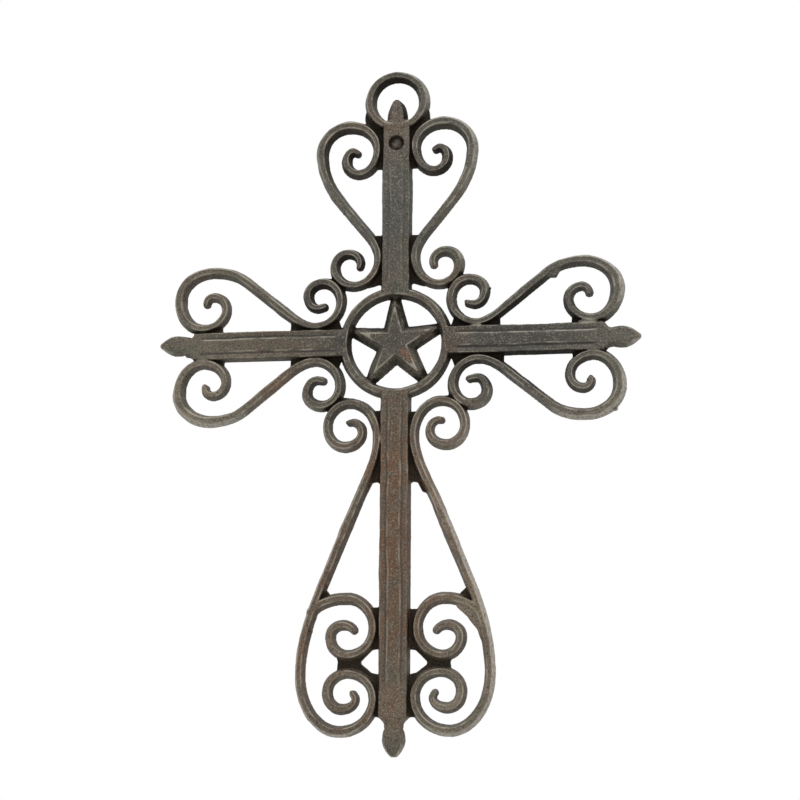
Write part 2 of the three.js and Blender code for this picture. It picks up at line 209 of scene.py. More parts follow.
def star_level(tip, tip_width, notch, depth):
    """The star's outline at one depth, with blunt tips."""
    ring = []
    for k in range(STAR_POINTS):
        angle = math.radians(90 + STAR_TURN + 360 / STAR_POINTS * k)
        half = math.pi / STAR_POINTS
        aside = Vector((-math.sin(angle), 0, math.cos(angle))) * tip_width / 2
        point = Vector((math.cos(angle) * tip, -depth, math.sin(angle) * tip))
        inner = Vector((math.cos(angle + half) * notch, -depth, math.sin(angle + half) * notch))
        for corner in (point - aside, point + aside, inner):
            ring.append(casting.verts.new(STAR_CENTRE + corner))
    return ring


def closed_loop(ring):
    """The edges round a ring of corners, made where they are missing."""
    pairs = [(ring[i - 1], ring[i]) for i in range(len(ring))]
    return [casting.edges.get(pair) or casting.edges.new(pair) for pair in pairs]


levels = [star_level(*level) for level in STAR_LEVELS]
casting.faces.new(levels[0])
casting.faces.new(levels[-1])
loops = [closed_loop(ring) for ring in levels]
for lower, upper in zip(loops, loops[1:]):
    bmesh.ops.bridge_loops(casting, edges=lower + upper)


# The scrolls
# Eight S-scrolls and the two C-curls in the lower loops, part of the casting. The pattern was bent
# by hand, so no two scrolls are quite alike. Two soft edges run along their narrow front.
SCROLL_DEPTH = 5
SCROLL_SIDE = [
    (1, 0), (0.97, 0.12), (0.54, 0.87), (0.47, 0.945), (0.4, 0.99), (0.3, 1), (0.15, 0.975), (0, 0.965),
]
STEP_ANGLE = 5
LONGEST_STEP = 1.2
FEWEST_STEPS = 8
TIP_ANGLES = (15, 30, 45, 60, 72, 82)
TIP_REACH = 0.46

# Each scroll as it lies in the corner to the right: [x, z, heading, width] from the tip in its lobe
# to the tip of its small curl, in its three parts.
ARM_SCROLL = {
    "lobe": [
        (93.9, 21.2, 90, 4.3), (90.2, 24.8, 180, 5), (83.9, 18.2, 270, 5.2),
        (95.4, 8.7, 360, 5.6), (107.4, 23.4, 90, 6.8), (91, 37.4, 180, 5.9),
    ],
    "run": [(74.2, 31.9, 219, 5.6), (53, 14.7, 219, 5.4)],
    "curl": [
        (39.5, 8.7, 180, 5), (27.2, 21, 90, 5.5), (36, 30.7, 0, 5.8),
        (43.5, 24.4, 270, 5.6), (38.6, 17.9, 180, 4.8), (35.4, 18.5, 160, 4.2),
    ],
}
TOP_SCROLL = {
    "lobe": [
        (19.2, 96.6, 30, 3.8), (21.4, 97.6, 0, 4.6), (25, 92.8, 270, 5.8), (18.4, 86.1, 180, 5.4),
        (9.2, 98.5, 90, 5.4), (23.3, 110.9, 0, 7), (37.3, 97, 270, 6),
    ],
    "run": [(29, 73.2, 233, 5.6), (16, 56.8, 230, 5.5)],
    "curl": [
        (8.8, 42.5, 270, 5.4), (21, 28.8, 0, 5.2), (30.6, 38.3, 90, 5.6),
        (23.8, 45.3, 180, 5.4), (17.9, 40, 270, 4.6), (18.2, 38.4, 280, 4.3),
    ],
}
BOTTOM_SCROLL = {
    "lobe": [
        (19, -166, 240, 3.6), (17.9, -168.2, 270, 4), (24.5, -172.9, 360, 5.4), (31.3, -165.2, 90, 5.4),
        (21.8, -156.4, 180, 5), (9.2, -168, 270, 5.4), (25.5, -183.1, 360, 5.7), (44.5, -157, 90, 5.3),
    ],
    "run": [(33.9, -113.5, 112.4, 5.6), (19.7, -79, 112.4, 5.6)],
    "curl": [
        (8.6, -46, 90, 5.5), (22.2, -29.1, 0, 5.2), (33.3, -40.6, 270, 5), (24.3, -50.3, 180, 5.6),
        (16.4, -43.6, 90, 4.8), (20.9, -38.4, 0, 4), (22.3, -38.6, 345, 3.7),
    ],
}
LOOP_CURL = {
    "run": [(39.8, -129, 132, 5.6)],
    "curl": [
        (23.2, -122.5, 180, 6), (10.2, -136.4, 270, 5.3), (22.6, -148.9, 360, 5.4),
        (30.8, -140.4, 90, 5.5), (24.6, -134.8, 180, 5.2), (19.4, -137.4, 235, 4.2),
    ],
}

# Each scroll: its stations, whether it is on the right and above, how far its three parts lie off
# their mirrored places, and the stretches along its bar where a web joins the two.
TOP_WEBS = [(87, 111), (30.3, 54.6)]
BOTTOM_WEBS = [(-66.6, -33.4), (-177.8, -156.8)]
LOOP_WEBS = [(-147.8, -124.6)]
ARM_WEBS = [(83.2, 100.5), (28.4, 55.4)]
UPRIGHT_SCROLLS = [
    (TOP_SCROLL, 1, 1, {"lobe": (0, 0.1), "run": (0, 0), "curl": (0.2, -0.3)}, TOP_WEBS),
    (BOTTOM_SCROLL, 1, 1, {"lobe": (0.3, 0.1), "run": (0.8, 0), "curl": (0.1, 0.1)}, BOTTOM_WEBS),
    (LOOP_CURL, 1, 1, {"run": (0.4, 0), "curl": (0.6, 0)}, LOOP_WEBS),
    (TOP_SCROLL, -1, 1, {"lobe": (-0.35, -0.4), "run": (-0.1, 0), "curl": (0.1, -0.2)}, TOP_WEBS),
    (BOTTOM_SCROLL, -1, 1, {"lobe": (-0.1, -0.8), "run": (0.8, 0), "curl": (0.2, -0.4)}, BOTTOM_WEBS),
    (LOOP_CURL, -1, 1, {"run": (0.3, 0), "curl": (0.5, -0.2)}, LOOP_WEBS),
]
ARM_SCROLLS = [
    (ARM_SCROLL, 1, 1, {"lobe": (-0.6, 0.5), "run": (-0.4, 0.85), "curl": (-0.3, 0)}, ARM_WEBS),
    (ARM_SCROLL, 1, -1, {"lobe": (-0.4, 0.5), "run": (0, 0.1), "curl": (0.5, -0.2)}, ARM_WEBS),
    (ARM_SCROLL, -1, 1, {"lobe": (-0.7, 0.4), "run": (-0.1, 0.2), "curl": (0, 0)}, ARM_WEBS),
    (ARM_SCROLL, -1, -1, {"lobe": (-0.1, 0.5), "run": (0.1, 0.4), "curl": (0, 0.2)}, ARM_WEBS),
]


def mirrored(station, side, up):
    """A station of a scroll taken to its own corner of the cross."""
    x, z, heading, width = station
    turned = heading if side > 0 else 180 - heading
    return side * x, up * z, turned if up > 0 else -turned, width


def unit(heading):
    """One step along a heading."""
    angle = math.radians(heading)
    return Vector((math.cos(angle), math.sin(angle)))


def middle_line(parts, side, up, shifts):
    """The middle line of a scroll as [x, z, heading, width], close enough together to look round."""
    stations = []
    for name, (right, higher) in shifts.items():
        for station in parts[name]:
            x, z, heading, width = mirrored(station, side, up)
            stations.append((x + right, z + higher, heading, width))
    line = []
    for start, end in zip(stations, stations[1:]):
        turn = (end[2] - start[2] + 180) % 360 - 180
        angle = math.radians(abs(turn))
        share = 1 / 3 if angle < 0.01 else 4 / 3 * math.tan(angle / 4) / math.sin(angle)
        first = Vector(start[:2])
        last = Vector(end[:2])
        chord = last - first
        second = first + unit(start[2]) * share * chord.dot(unit(start[2]))
        third = last - unit(end[2]) * share * chord.dot(unit(end[2]))
        steps = max(FEWEST_STEPS, round(abs(turn) / STEP_ANGLE), round(chord.length / LONGEST_STEP))
        for k in range(1 if line else 0, steps + 1):
            t = k / steps
            s = 1 - t
            point = first * s ** 3 + second * 3 * t * s * s + third * 3 * t * t * s + last * t ** 3
            run = (second - first) * s * s + (third - second) * 2 * t * s + (last - third) * t * t
            heading = math.degrees(math.atan2(run.y, run.x))
            line.append((point.x, point.y, heading, start[3] + (end[3] - start[3]) * t))
    return line


def rolled_tip(station, sign):
    """The rounded end of a scroll, from its last full place outwards."""
    x, z, heading, width = station
    along = unit(heading)
    places = []
    for angle in TIP_ANGLES:
        out = sign * TIP_REACH * width * math.sin(math.radians(angle))
        narrow = math.cos(math.radians(angle))
        depth = SCROLL_DEPTH * (0.72 + 0.28 * narrow)
        places.append(place(x + out * along.x, z + out * along.y, heading, width * narrow, depth))
    return places


def scroll(line):
    """The bar of a scroll along its middle line, with both ends rounded."""
    body = [place(x, z, heading, width, SCROLL_DEPTH) for x, z, heading, width in line]
    sweep(whole_section(SCROLL_SIDE), rolled_tip(line[0], -1)[::-1] + body + rolled_tip(line[-1], 1))


upright_lines = [(middle_line(*spec[:4]), spec[4]) for spec in UPRIGHT_SCROLLS]
arm_lines = [(middle_line(*spec[:4]), spec[1], spec[4]) for spec in ARM_SCROLLS]
for line, *_ in upright_lines + arm_lines:
    scroll(line)


# The webs
# Thin iron left in the corners where two bars of the pattern come together, reaching about 2 mm up
# from the flat back. They sit deep between the bars, and painted shade makes them the darkest places of the
# cross.
WEB_DEPTH = 2
FLAW_DEPTH = 4.2
WEB_REACH = 6.5
WEB_ROOT = 6.1
CORNER_WEBS = [
    [(25.4, 21), (25.4, 26.7), (20, 27), (25, 32), (32, 30)],
    [(25.6, -20), (25.6, -26.5), (20, -27), (25, -32), (32, -30)],
    [
        (15.8, 118), (13.6, 115.6), (9, 113), (6, 108.5),
        (9, 105), (15, 110.5), (16.4, 113.2), (16.3, 115.6),
    ],
    [(31.5, -119.6), (33.6, -117.6), (39.5, -127), (29, -123.6)],
    [(36.5, -127), (40.4, -127), (42.5, -140), (40, -138), (37, -132)],
    [(15.4, -152.6), (16, -149.5), (27.5, -149.5), (26.6, -152), (27, -156), (16, -156)],
    [(6, -144), (8, -146.3), (10.2, -146.6), (15.4, -151.8), (17.2, -150), (12, -142)],
    [(6, -160), (8, -157.5), (10.6, -156.9), (15.3, -153.1), (17, -155), (12, -162)],
    [(6, 28.4), (8.6, 29.2), (14, 27.6), (16, 32), (6, 33)],
    [(6, -64), (6, -69.6), (8.6, -67.8), (10.8, -68.2), (13, -72.6), (17, -74), (12, -60)],
    [(26, 6), (34, 6), (33, 13), (28.7, 13.4), (27.2, 9)],
    [(26, -6), (34, -6), (33, -13), (28.7, -13.4), (27.2, -9)],
]
# Two places on the right where the pattern is clumsier than its mirrored half.
PATTERN_FLAWS = [
    [(69, 28), (73.3, 29.9), (77.6, 30), (79.4, 32.8), (82, 36.5), (74, 34)],
    [
        (28, -124), (38, -126), (43, -130), (43.5, -142),
        (41, -142), (39.2, -137.4), (34.8, -131.4), (30, -127.4),
    ],
]


def web(outline, depth):
    """A flat plate that stands on the back's plane, with the given outline and depth."""
    foot = casting.faces.new([casting.verts.new((x, 0, z)) for x, z in outline])
    raised = bmesh.ops.extrude_face_region(casting, geom=[foot])["geom"]
    verts = [v for v in raised if isinstance(v, bmesh.types.BMVert)]
    bmesh.ops.translate(casting, vec=(0, -depth, 0), verts=verts)


def web_along(line, upright, low, high):
    """A web from a bar to the part of a scroll that lies beside it between two places."""
    near = []
    for x, z, *_ in line:
        along, off = (z, x) if upright else (x, z)
        if low <= along <= high and abs(off) < BAR_WIDTH / 2 + WEB_REACH:
            near.append((x, z))
    side = math.copysign(WEB_ROOT, near[0][0] if upright else near[0][1])
    ends = [(side, near[k][1]) if upright else (near[k][0], side) for k in (-1, 0)]
    web(near + ends, WEB_DEPTH)


for line, stretches in upright_lines:
    for low, high in stretches:
        web_along(line, True, low, high)
for line, side, stretches in arm_lines:
    for low, high in stretches:
        web_along(line, False, min(side * low, side * high), max(side * low, side * high))
for outline in CORNER_WEBS:
    web(outline, WEB_DEPTH)
    web([(-x, z) for x, z in outline], WEB_DEPTH)
for outline in PATTERN_FLAWS:
    web(outline, FLAW_DEPTH)


# Lumps and burrs
# Small flaws that were left on: blobs of iron where sand broke away, and short burrs on the outer
# edges that were not filed off.
# Each: [x, z, height above the back, half length, half width, half depth, heading].
LUMPS = [
    (92.6, 6.9, 3.6, 5.2, 1.9, 1.5, 2), (99.5, 5.6, 3.4, 2.6, 1.4, 1.3, -38),
    (39, 6.6, 3.4, 4.4, 1.4, 1.5, 4), (45.9, 25.4, 1.8, 0.8, 0.6, 1, 80),
    (104.6, -34.6, 1.4, 1.3, 1.2, 1.2, 45), (82, -37.9, 1.2, 1.4, 0.8, 1, 10),
    (-31.5, -116.2, 2.5, 1.4, 0.7, 1.4, 65), (-39, -138, 2.4, 1.3, 0.6, 1.4, 75),
    (-26, 65.9, 1.6, 1.2, 0.5, 1.2, 50), (-30, -185.3, 1.2, 1.4, 0.6, 1, 10),
    (-21, -185.5, 1.2, 1.2, 0.6, 1, -10), (27.5, -185.2, 1.2, 1.2, 0.6, 1, 5),
    (37.4, -176.2, 2.2, 2, 0.9, 1.3, 40), (30.6, -171.4, 2.6, 1.5, 1.2, 1.6, 45),
    (-28.6, -170.6, 2, 0.9, 0.8, 1.2, 30), (-13.6, 116, 1.2, 1.2, 1, 1, 60),
]
for x, z, height, long, wide, deep, heading in LUMPS:
    stand = place(x, z, heading, wide, deep)
    stand.translation.y = -height
    stretched = stand @ Matrix.Diagonal((1, long, 1, 1))
    bmesh.ops.create_icosphere(casting, subdivisions=2, radius=1, matrix=stretched)


# Poured in one
# The bars, rings, star, scrolls, webs and lumps become one skin, as the iron did. Its edges are
# rounded by the sand, the grooves and the blind round recess are sunk into the bars' front, and the
# flat back stays plane.
bmesh.ops.recalc_face_normals(casting, faces=casting.faces)
cross_mesh = bpy.data.meshes.new("cross_casting")
casting.to_mesh(cross_mesh)
casting.free()
cross = bpy.data.objects.new("cross_casting", cross_mesh)
bpy.context.scene.collection.objects.link(cross)


def settle(piece):
    """Takes a piece's modifiers into its mesh."""
    graph = bpy.context.evaluated_depsgraph_get()
    done = bpy.data.meshes.new_from_object(piece.evaluated_get(graph))
    piece.modifiers.clear()
    piece.data = done


FINE_GRID = 0.3
skin = cross.modifiers.new("skin", "REMESH")
skin.mode = "VOXEL"
skin.voxel_size = FINE_GRID
soften = cross.modifiers.new("soften", "SMOOTH")
soften.factor = 0.5
soften.iterations = 2
settle(cross)


def read(mesh, name):
    """The places or the normals of a mesh's vertices, one row each."""
    values = np.empty(len(mesh.vertices) * 3, np.float32)
    mesh.vertices.foreach_get(name, values)
    return values.reshape(-1, 3).astype(float)


def smooth_rise(values, low, high):
    """Nought up to low and one from high on, with a soft rise between."""
    share = np.clip((values - low) / (high - low), 0, 1)
    return share * share * (3 - 2 * share)


def clouds(places, size, seed):
    """Soft unevenness with lumps of about the given size, mostly between -1 and 1."""
    chance = np.random.default_rng(seed)
    total = np.zeros(len(places))
    waves = 28
    for _ in range(waves):
        way = chance.normal(size=3)
        way *= 2 * math.pi / (size * chance.uniform(1.4, 2.8)) / np.linalg.norm(way)
        total += np.sin(places @ way + chance.uniform(0, math.tau))
    return total / math.sqrt(waves)


spots = read(cross.data, "co")
normals = read(cross.data, "normal")
x, y, z = spots.T
height = -y
front = smooth_rise(-normals[:, 1], 0.5, 0.8) * smooth_rise(height, 4, 4.6)

# Beside the flat middle band of each bar the front slopes down from the rim to a sharp line.
GROOVE_REACH = [2.85, 3.35, 5.9, 6.5]
GROOVE_DROP = [0, 1, 0.15, 0]
GROOVED_HALF_WIDTH = 7
wander = clouds(np.stack([x, 0 * x, z], 1), 16, 5) * 0.16
# Each bar: beside, along, where its grooves start and end, and how deep they are.
GROOVES = [
    (x, z, 30, 92, 0.34), (x, -z, 30, 165, 0.38), (z, x, 28.5, 97.5, 0.62), (z, -x, 28.5, 97.5, 0.62),
]
for beside, along, near, far, drop in GROOVES:
    stretch = smooth_rise(along, near - 1, near + 2.5) * (1 - smooth_rise(along, far - 3, far))
    cut = np.interp(np.abs(beside + wander), GROOVE_REACH, GROOVE_DROP)
    spots[:, 1] += drop * front * stretch * cut * (np.abs(beside) < GROOVED_HALF_WIDTH)

# The round recess near the top is blind, with a floor that is almost flat.
RECESS_HEIGHT = 100.2
RECESS_RADIUS = 3.8
RECESS_DEPTH = 2
radius = np.hypot(x, z - RECESS_HEIGHT)
inside = 1 - smooth_rise(radius, RECESS_RADIUS - 0.5, RECESS_RADIUS + 0.25)
spots[:, 1] += RECESS_DEPTH * inside * (height > BAR_DEPTH / 2)

# Hand-made unevenness of the pattern and the sand, everywhere but on the flat back.
BACK_LAYER = 0.4
off_back = smooth_rise(height, 0, BACK_LAYER)
# Each layer: how high, how large its lumps are, and its own seed.
UNEVENNESS = [(0.13, 11, 11), (0.075, 3.8, 23), (0.032, 1.4, 37)]
uneven = sum(high * clouds(spots, size, seed) for high, size, seed in UNEVENNESS)
spots += normals * (uneven * off_back)[:, None]
cross.data.vertices.foreach_set("co", spots.astype(np.float32).ravel())
cross.data.update()

MOST_TRIANGLES = 192000
thin_out = cross.modifiers.new("thin_out", "DECIMATE")
thin_out.ratio = min(1, MOST_TRIANGLES / (2 * len(cross.data.polygons)))
thin_out.use_collapse_triangulate = True
settle(cross)
for polygon in cross.data.polygons:
    polygon.use_smooth = True


# Where the iron is worn, where dirt lies, and where light and shade are painted
# The casting's edges look rubbed lighter, partly wear and partly painted highlight, and dark dirt
# with painted shade sits between the bars. The worn and highlight lines follow the pattern's own
# edges, the dirt and painted shade lie where sides face one another, and open sides get a painted
# reflection of the white surroundings.
spots = read(cross.data, "co")
normals = read(cross.data, "normal")
x, y, z = spots.T
height = -y
triangles = [tuple(polygon.vertices) for polygon in cross.data.polygons]
shape = BVHTree.FromPolygons([tuple(spot) for spot in spots.tolist()], triangles)

LOOKS = 12
LEVEL_LOOKS = 16
NEAR_SIGHT = 9
FAR_SIGHT = 70
CLEARANCE = 0.08
FACES_BACK = 0.9
LEAST_LEAN = 0.25
NEAR_FADE = 0.5
FAR_FADE = 0.45
STAR_DIRT_AND_SHADE = 1.8
golden = math.pi * (3 - math.sqrt(5))
rays = []
for k in range(LOOKS):
    rise = 0.15 + 0.8 * (k + 0.5) / LOOKS
    flat = math.sqrt(1 - rise * rise)
    rays.append(Vector((flat * math.cos(golden * k), flat * math.sin(golden * k), rise)))
level_rays = []
for k in range(LEVEL_LOOKS):
    bearing = math.tau * k / LEVEL_LOOKS
    level_rays.append(Vector((math.cos(bearing), 0, math.sin(bearing))))
# hemmed: how closed in each place is nearby; faced: how much iron its side faces across the pattern. Both
# darken the colour as dirt and painted shade, and faced also marks the open sides that get a painted
# reflection.
hemmed = np.zeros(len(spots))
faced = np.zeros(len(spots))
for index, (spot, normal) in enumerate(zip(spots.tolist(), normals.tolist())):
    if normal[1] > FACES_BACK:
        continue
    out = Vector(normal)
    turn = Vector((0, 0, 1)).rotation_difference(out)
    start = Vector(spot) + out * CLEARANCE
    met = 0
    for ray in rays:
        distance = shape.ray_cast(start, turn @ ray, NEAR_SIGHT)[3]
        if distance is not None:
            met += 1 - NEAR_FADE * distance / NEAR_SIGHT
    hemmed[index] = met / LOOKS
    seen = 0.0
    total = 1e-6
    for ray in level_rays:
        lean = out.dot(ray)
        if lean > LEAST_LEAN:
            total += lean
            distance = shape.ray_cast(start, ray, FAR_SIGHT)[3]
            if distance is not None:
                seen += lean * (1 - FAR_FADE * distance / FAR_SIGHT)
    faced[index] = seen / total
between = (np.abs(x) < ARM_REACH) & (z > -BOTTOM_REACH) & ((np.abs(x) > 5) | (z < TOP_REACH))
# The low fronts of the webs, deep between the bars, are marked to be painted dark as shade.
sunk = smooth_rise(-normals[:, 1], 0.6, 0.9) * (1 - smooth_rise(height, 2.5, 3.3)) * between
side = smooth_rise(np.hypot(normals[:, 0], normals[:, 2]), 0.45, 0.85)
# Inside the centre ring, round the star, the dirt and painted shade are stronger.
hemmed[np.hypot(x, z - STAR_CENTRE.z) < RING_RADIUS - RING_WIDTH / 2] *= STAR_DIRT_AND_SHADE

# How far off the middle of its scroll a place lies, as a share of the scroll's half width there.
OFF = 3.0
SCROLL_ALLOWANCE = 0.4
samples = [station for line, *_ in upright_lines + arm_lines for station in line]
nearby = KDTree(len(samples))
for index, (sx, sz, _, _) in enumerate(samples):
    nearby.insert((sx, 0, sz), index)
nearby.balance()
across = np.full(len(spots), OFF)
for index, (sx, sz) in enumerate(zip(x.tolist(), z.tolist())):
    _, nearest, distance = nearby.find((sx, 0, sz))
    px, pz, heading, width = samples[nearest]
    if distance < width / 2 + SCROLL_ALLOWANCE:
        aside = Vector((sx - px, sz - pz)).cross(unit(heading))
        across[index] = abs(aside) / (width / 2)

# Rings and star: the same share of their own half width, with the soft edge in the same place. A
# ring has no line of its own where a bar crosses its outer half.
SHOULDER = 0.42
RING_ALLOWANCE = 0.2
BARS_COVER_FROM = -0.6
BAR_FRONT_HALF = 6.8
HANGING_BAR_TOP = 117
over_upright = np.abs(x) < BAR_FRONT_HALF
over_bars = over_upright | (np.abs(z) < BAR_FRONT_HALF)
for ring_radius, ring_height, over_bar in (
    (RING_RADIUS, RING_HEIGHT, over_bars),
    (HANGING_RADIUS, HANGING_HEIGHT, over_upright & (z < HANGING_BAR_TOP)),
):
    from_ring = np.hypot(x, z - ring_height) - ring_radius
    on_ring = np.abs(from_ring) < RING_WIDTH / 2 + RING_ALLOWANCE
    crossed = over_bar & (from_ring > BARS_COVER_FROM)
    across[on_ring] = np.abs(from_ring[on_ring]) / (RING_WIDTH / 2)
    across[on_ring & crossed] = OFF

LOWEST_LINE = 3.4
STAR_EDGE_WIDTH = 2.6
star_x = x - STAR_CENTRE.x
star_z = z - STAR_CENTRE.z
sector = math.tau / STAR_POINTS
angle = np.arctan2(star_z, star_x) - math.radians(90 + STAR_TURN)
folded = np.abs((angle + sector / 2) % sector - sector / 2)
reach = np.hypot(star_x, star_z)
tip = np.array([STAR_TIP, 0.2])
notch = np.array([math.cos(sector / 2), math.sin(sector / 2)]) * STAR_NOTCH
edge = (tip - notch) / np.linalg.norm(tip - notch)
along_point = reach * np.cos(folded) - notch[0]
off_point = reach * np.sin(folded) - notch[1]
from_edge = off_point * edge[0] - along_point * edge[1]
on_star = (reach < STAR_TIP + 1.5) & (height > LOWEST_LINE)
across[on_star] = SHOULDER + from_edge[on_star] / STAR_EDGE_WIDTH
across[height < LOWEST_LINE] = OFF

# Stains as [x, z, reach, amount] from the crossing: rust brown towards the foot, cool grey on the
# right arm and the upper bar, darker iron round the ring, along the right arm and at the top, and
# paler iron at the low outer bends.
BROWN = [
    (0, -60, 26, 1.3), (0, -100, 30, 1.3), (0, -135, 26, 1), (0, -172, 13, 0.8), (-20, -178, 18, 0.7),
    (38, -110, 30, 0.6), (-38, -105, 30, 0.95), (-57, -21, 13, 0.9), (-60, 0, 30, 0.35), (0, 112, 11, 0.7),
    (22, -30, 14, 0.6), (-12, 30, 8, 0.8), (30, -45, 18, 0.7), (-40, -150, 26, 0.7), (46, -150, 20, 0.6),
    (24, 24, 14, 0.6), (-95, 25, 16, 0.3), (25, 0, 9, 0.8), (0, -28, 12, 0.6), (-20, 112, 16, 0.5),
]
ORANGE = [
    (5, -6, 2.1, 0.9), (7.2, -9, 1.6, 0.7), (-56, -19, 5, 0.35), (20, -124.5, 5, 0.3), (-44, -150, 9, 0.2),
]
COOL = [(70, 0, 34, 1), (0, 62, 24, 0.9), (95, 28, 20, 0.8), (24, 108, 20, 0.5), (104, -20, 20, 0.4)]
SOOTY = [
    (0, 136, 17, 1), (-26, 96, 20, 0.6), (22, 92, 18, 0.6), (-38, 26, 14, 1), (-25, 0, 10, 1),
    (60, 0, 36, 0.9), (-18, 40, 14, 0.9), (36, 24, 12, 0.5), (-36, -26, 12, 0.45), (0, 8, 18, 0.8),
    (0, 60, 20, 0.25), (3, 119, 7, 1), (38, 98, 14, 0.4), (-38, 100, 12, 0.5),
]
PALE = [
    (38, -80, 30, 1.5), (44, -122, 24, 1), (30, -165, 26, 0.85), (-36, -85, 28, 0.35), (-40, -150, 24, 0.9),
    (-95, -24, 26, 0.75), (95, -24, 26, 0.7), (-100, 20, 18, 0.45), (98, 24, 18, 0.4), (0, -172, 14, 0.5),
    (24, -44, 14, 0.5), (34, 72, 20, 0.3), (116, 0, 8, 0.4), (-116, 0, 8, 0.4), (-90, 0, 12, 0.25),
    (0, 104, 9, 0.3),
]


def stains(patches):
    """How much of a stain lies at each place, fading out round each patch."""
    total = np.zeros(len(spots))
    for sx, sz, far, amount in patches:
        total = np.maximum(total, amount * np.exp(-((x - sx) ** 2 + (z - sz) ** 2) / far ** 2))
    return total


readings = {
    "hemmed": hemmed, "faced": faced * side, "side": side, "across": across, "brown": stains(BROWN),
    "orange": stains(ORANGE), "cool": stains(COOL), "sooty": stains(SOOTY), "pale": stains(PALE),
    "sunk": sunk,
}
for name, values in readings.items():
    layer = cross.data.attributes.new(name, "FLOAT", "POINT")
    layer.data.foreach_set("value", values.astype(np.float32))

cross.data.transform(Matrix.Scale(0.001, 4) @ Matrix.Translation((0, 0, -EYE_TOP)))


# The iron's surface
# Grey iron gone black-brown: a fine sandy grain from the mould, olive, rust brown and cool grey
# stains in patches, dark dirt with painted shade between the bars and in the grooves, paler rubbed
# edges with painted highlights, and a painted reflection on the open outer sides.
iron = bpy.data.materials.new("cast_iron")
iron.use_nodes = True
tree = iron.node_tree
shader = tree.nodes["Principled BSDF"]
where = tree.nodes.new("ShaderNodeTexCoord").outputs["Object"]


def feed(socket, value):
    """Gives a socket a plain value, or links it to another node's output."""
    if isinstance(value, (int, float, tuple)):
        socket.default_value = value
    else:
        tree.links.new(value, socket)


def reading(name):
    """One of the piece's own attributes."""
    node = tree.nodes.new("ShaderNodeAttribute")
    node.attribute_name = name
    return node.outputs["Fac"]


def grain(size, detail=2.0, rough=0.5):
    """A cloudy pattern with spots about size millimetres across."""
    node = tree.nodes.new("ShaderNodeTexNoise")
    node.inputs["Scale"].default_value = 1000 / size
    node.inputs["Detail"].default_value = detail
    node.inputs["Roughness"].default_value = rough
    feed(node.inputs["Vector"], where)
    return node.outputs["Fac"]


RANGE_INPUTS = ("Value", "From Min", "From Max", "To Min", "To Max")


def ranged(value, low, high, start=0.0, end=1.0):
    """A reading brought from low and high to start and end, smoothly and no further."""
    node = tree.nodes.new("ShaderNodeMapRange")
    node.interpolation_type = "SMOOTHSTEP"
    for name, number in zip(RANGE_INPUTS, (value, low, high, start, end)):
        feed(node.inputs[name], number)
    return node.outputs["Result"]


def sums(kind, *values):
    """One step of arithmetic between readings or plain numbers."""
    node = tree.nodes.new("ShaderNodeMath")
    node.operation = kind
    for socket, value in zip(node.inputs, values):
        feed(socket, value)
    return node.outputs["Value"]


def line_at(value, middle, reach):
    """One on a line where the value is the middle, fading to nothing within reach."""
    return ranged(sums("ABSOLUTE", sums("SUBTRACT", value, middle)), reach, reach * 0.3)


def rgb(red, green, blue):
    """A colour as it looks on screen, from 0 to 255, in the shader's own numbers."""
    return tuple(((part / 255 + 0.055) / 1.055) ** 2.4 for part in (red, green, blue)) + (1,)


def stained(under, over, amount):
    """One colour laid over another, as far as the amount says."""
    node = tree.nodes.new("ShaderNodeMix")
    node.data_type = "RGBA"
    sockets = [socket for socket in node.inputs if socket.type == "RGBA"]
    feed(node.inputs["Factor"], amount)
    feed(sockets[0], under)
    feed(sockets[1], over)
    return [socket for socket in node.outputs if socket.type == "RGBA"][0]


def patches(name, size):
    """A placed stain broken up into cloudy spots of the given size."""
    return sums("MULTIPLY", reading(name), ranged(grain(size, 3), 0.32, 0.6, 0.35, 1))


BARE_IRON = rgb(71, 65, 53)
OLIVE = rgb(63, 63, 49)
PALE_IRON = rgb(120, 108, 91)
RUST_BROWN = rgb(88, 60, 35)
COOL_GREY = rgb(57, 60, 55)
FRESH_RUST = rgb(128, 70, 36)
SOOT = rgb(34, 29, 24)
DARK_GRAIN = rgb(30, 27, 23)
LIGHT_GRAIN = rgb(128, 121, 108)
# The last four colours: painted shade in the grooves, worn edges with painted highlights, a painted
# reflection on the open outer sides, and dirt with painted shade.
PAINTED_GROOVE_SHADE = rgb(28, 24, 20)
WORN_EDGE_AND_HIGHLIGHT = rgb(156, 149, 133)
PAINTED_SIDE_REFLECTION = rgb(158, 152, 142)
DIRT_AND_PAINTED_SHADE = rgb(22, 17, 14)

colour = stained(BARE_IRON, OLIVE, ranged(grain(8), 0.48, 0.66))
colour = stained(colour, PALE_IRON, patches("pale", 9))
colour = stained(colour, RUST_BROWN, sums("MULTIPLY", patches("brown", 6), 0.9))
colour = stained(colour, COOL_GREY, sums("MULTIPLY", patches("cool", 9), 0.8))
colour = stained(colour, FRESH_RUST, patches("orange", 2.5))
colour = stained(colour, SOOT, sums("MULTIPLY", patches("sooty", 5), 0.76))
colour = stained(colour, DARK_GRAIN, sums("MULTIPLY", ranged(grain(0.85, 4, 0.7), 0.48, 0.64), 0.92))
colour = stained(colour, LIGHT_GRAIN, sums("MULTIPLY", ranged(grain(0.7, 3, 0.65), 0.53, 0.67), 0.7))

